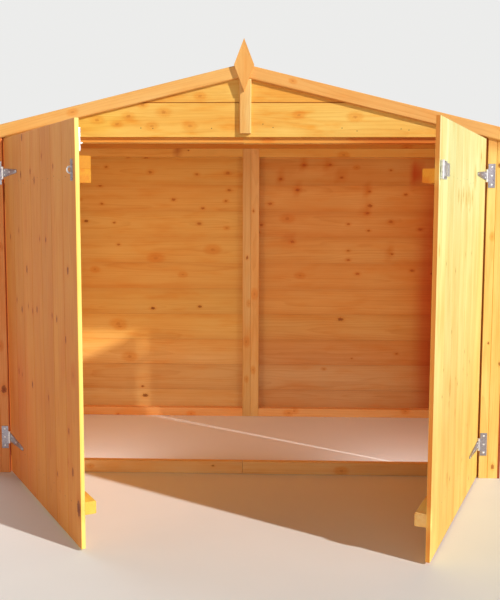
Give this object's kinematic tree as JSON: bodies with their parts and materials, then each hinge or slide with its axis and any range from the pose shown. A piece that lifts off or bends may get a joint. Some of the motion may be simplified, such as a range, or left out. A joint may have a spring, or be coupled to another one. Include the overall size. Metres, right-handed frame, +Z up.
{
  "type": "timber bike shelter with double doors",
  "caption": "Low timber bicycle shelter with an apex roof, a boarded gable with a diamond finial, and double doors on tee hinges.",
  "frame": {"origin": "centre of the underside of the sill, on the ground", "axes": "+X to the right seen from the front, +Y into the shelter, +Z up"},
  "size_m": [2.005, 1.7993, 1.575],
  "materials": {
    "boards": "honey-stained knotty softwood boards",
    "trim_timber": "honey-stained planed softwood",
    "framing": "honey-stained planed softwood",
    "zinc_plate": "bright zinc plate",
    "roofing_felt": "mineral felt"
  },
  "bodies": {
    "shelter": {"back_cover_strip": "boards", "back_rails": "framing", "back_studs": "framing", "back_wall_left": "boards", "back_wall_right": "boards", "bargeboard_back_left": "trim_timber", "bargeboard_back_right": "trim_timber", "bargeboard_front_left": "trim_timber", "bargeboard_front_right": "trim_timber", "eaves_fascia_left": "trim_timber", "eaves_fascia_right": "trim_timber", "finial_diamond": "trim_timber", "finial_stem": "trim_timber", "front_post_left": "framing", "front_post_right": "framing", "gable_board_lower": "boards", "gable_board_upper": "boards", "gable_rafters": "framing", "hinge_leaves": "zinc_plate", "jamb_strip_left": "framing", "jamb_strip_right": "framing", "lintel_left": "framing", "lintel_right": "framing", "purlins": "framing", "ridge_bar": "framing", "roof_deck_left": "boards", "roof_deck_right": "boards", "roof_felt": "roofing_felt", "side_rails": "framing", "side_studs": "framing", "side_wall_left": "boards", "side_wall_right": "boards", "sill": "framing"},
    "left_door": {"catch_block": "framing", "left_door_boards": "boards", "left_door_brace": "boards", "left_door_ledges": "framing", "left_door_straps": "zinc_plate", "staple": "zinc_plate", "tower_bolt_plate": "zinc_plate"},
    "right_door": {"hasp_leaf": "zinc_plate", "right_door_boards": "boards", "right_door_brace": "boards", "right_door_ledges": "framing", "right_door_straps": "zinc_plate"},
    "bolt": {"tower_bolt_rod": "zinc_plate"},
    "hasp": {"hasp_strap": "zinc_plate"}
  },
  "joints": [
    {"name": "left_door_hinge", "type": "hinge", "parent": "shelter", "child": "left_door", "pos_m": [-0.864, -0.037, 0.6], "axis": [0, 0, -1], "range_deg": [-60.1, 54.9]},
    {"name": "right_door_hinge", "type": "hinge", "parent": "shelter", "child": "right_door", "pos_m": [0.864, -0.037, 0.6], "axis": [0, 0, 1], "range_deg": [-69.2, 45.8]},
    {"name": "hasp_hinge", "type": "hinge", "parent": "right_door", "child": "hasp", "pos_m": [0.56343, -0.83529, 1.0885], "axis": [0, 0, -1], "range_deg": [0, 180]},
    {"name": "tower_bolt", "type": "slide", "parent": "left_door", "child": "bolt", "axis": [0, 0, 1], "range_m": [0, 0.02]}
  ]
}
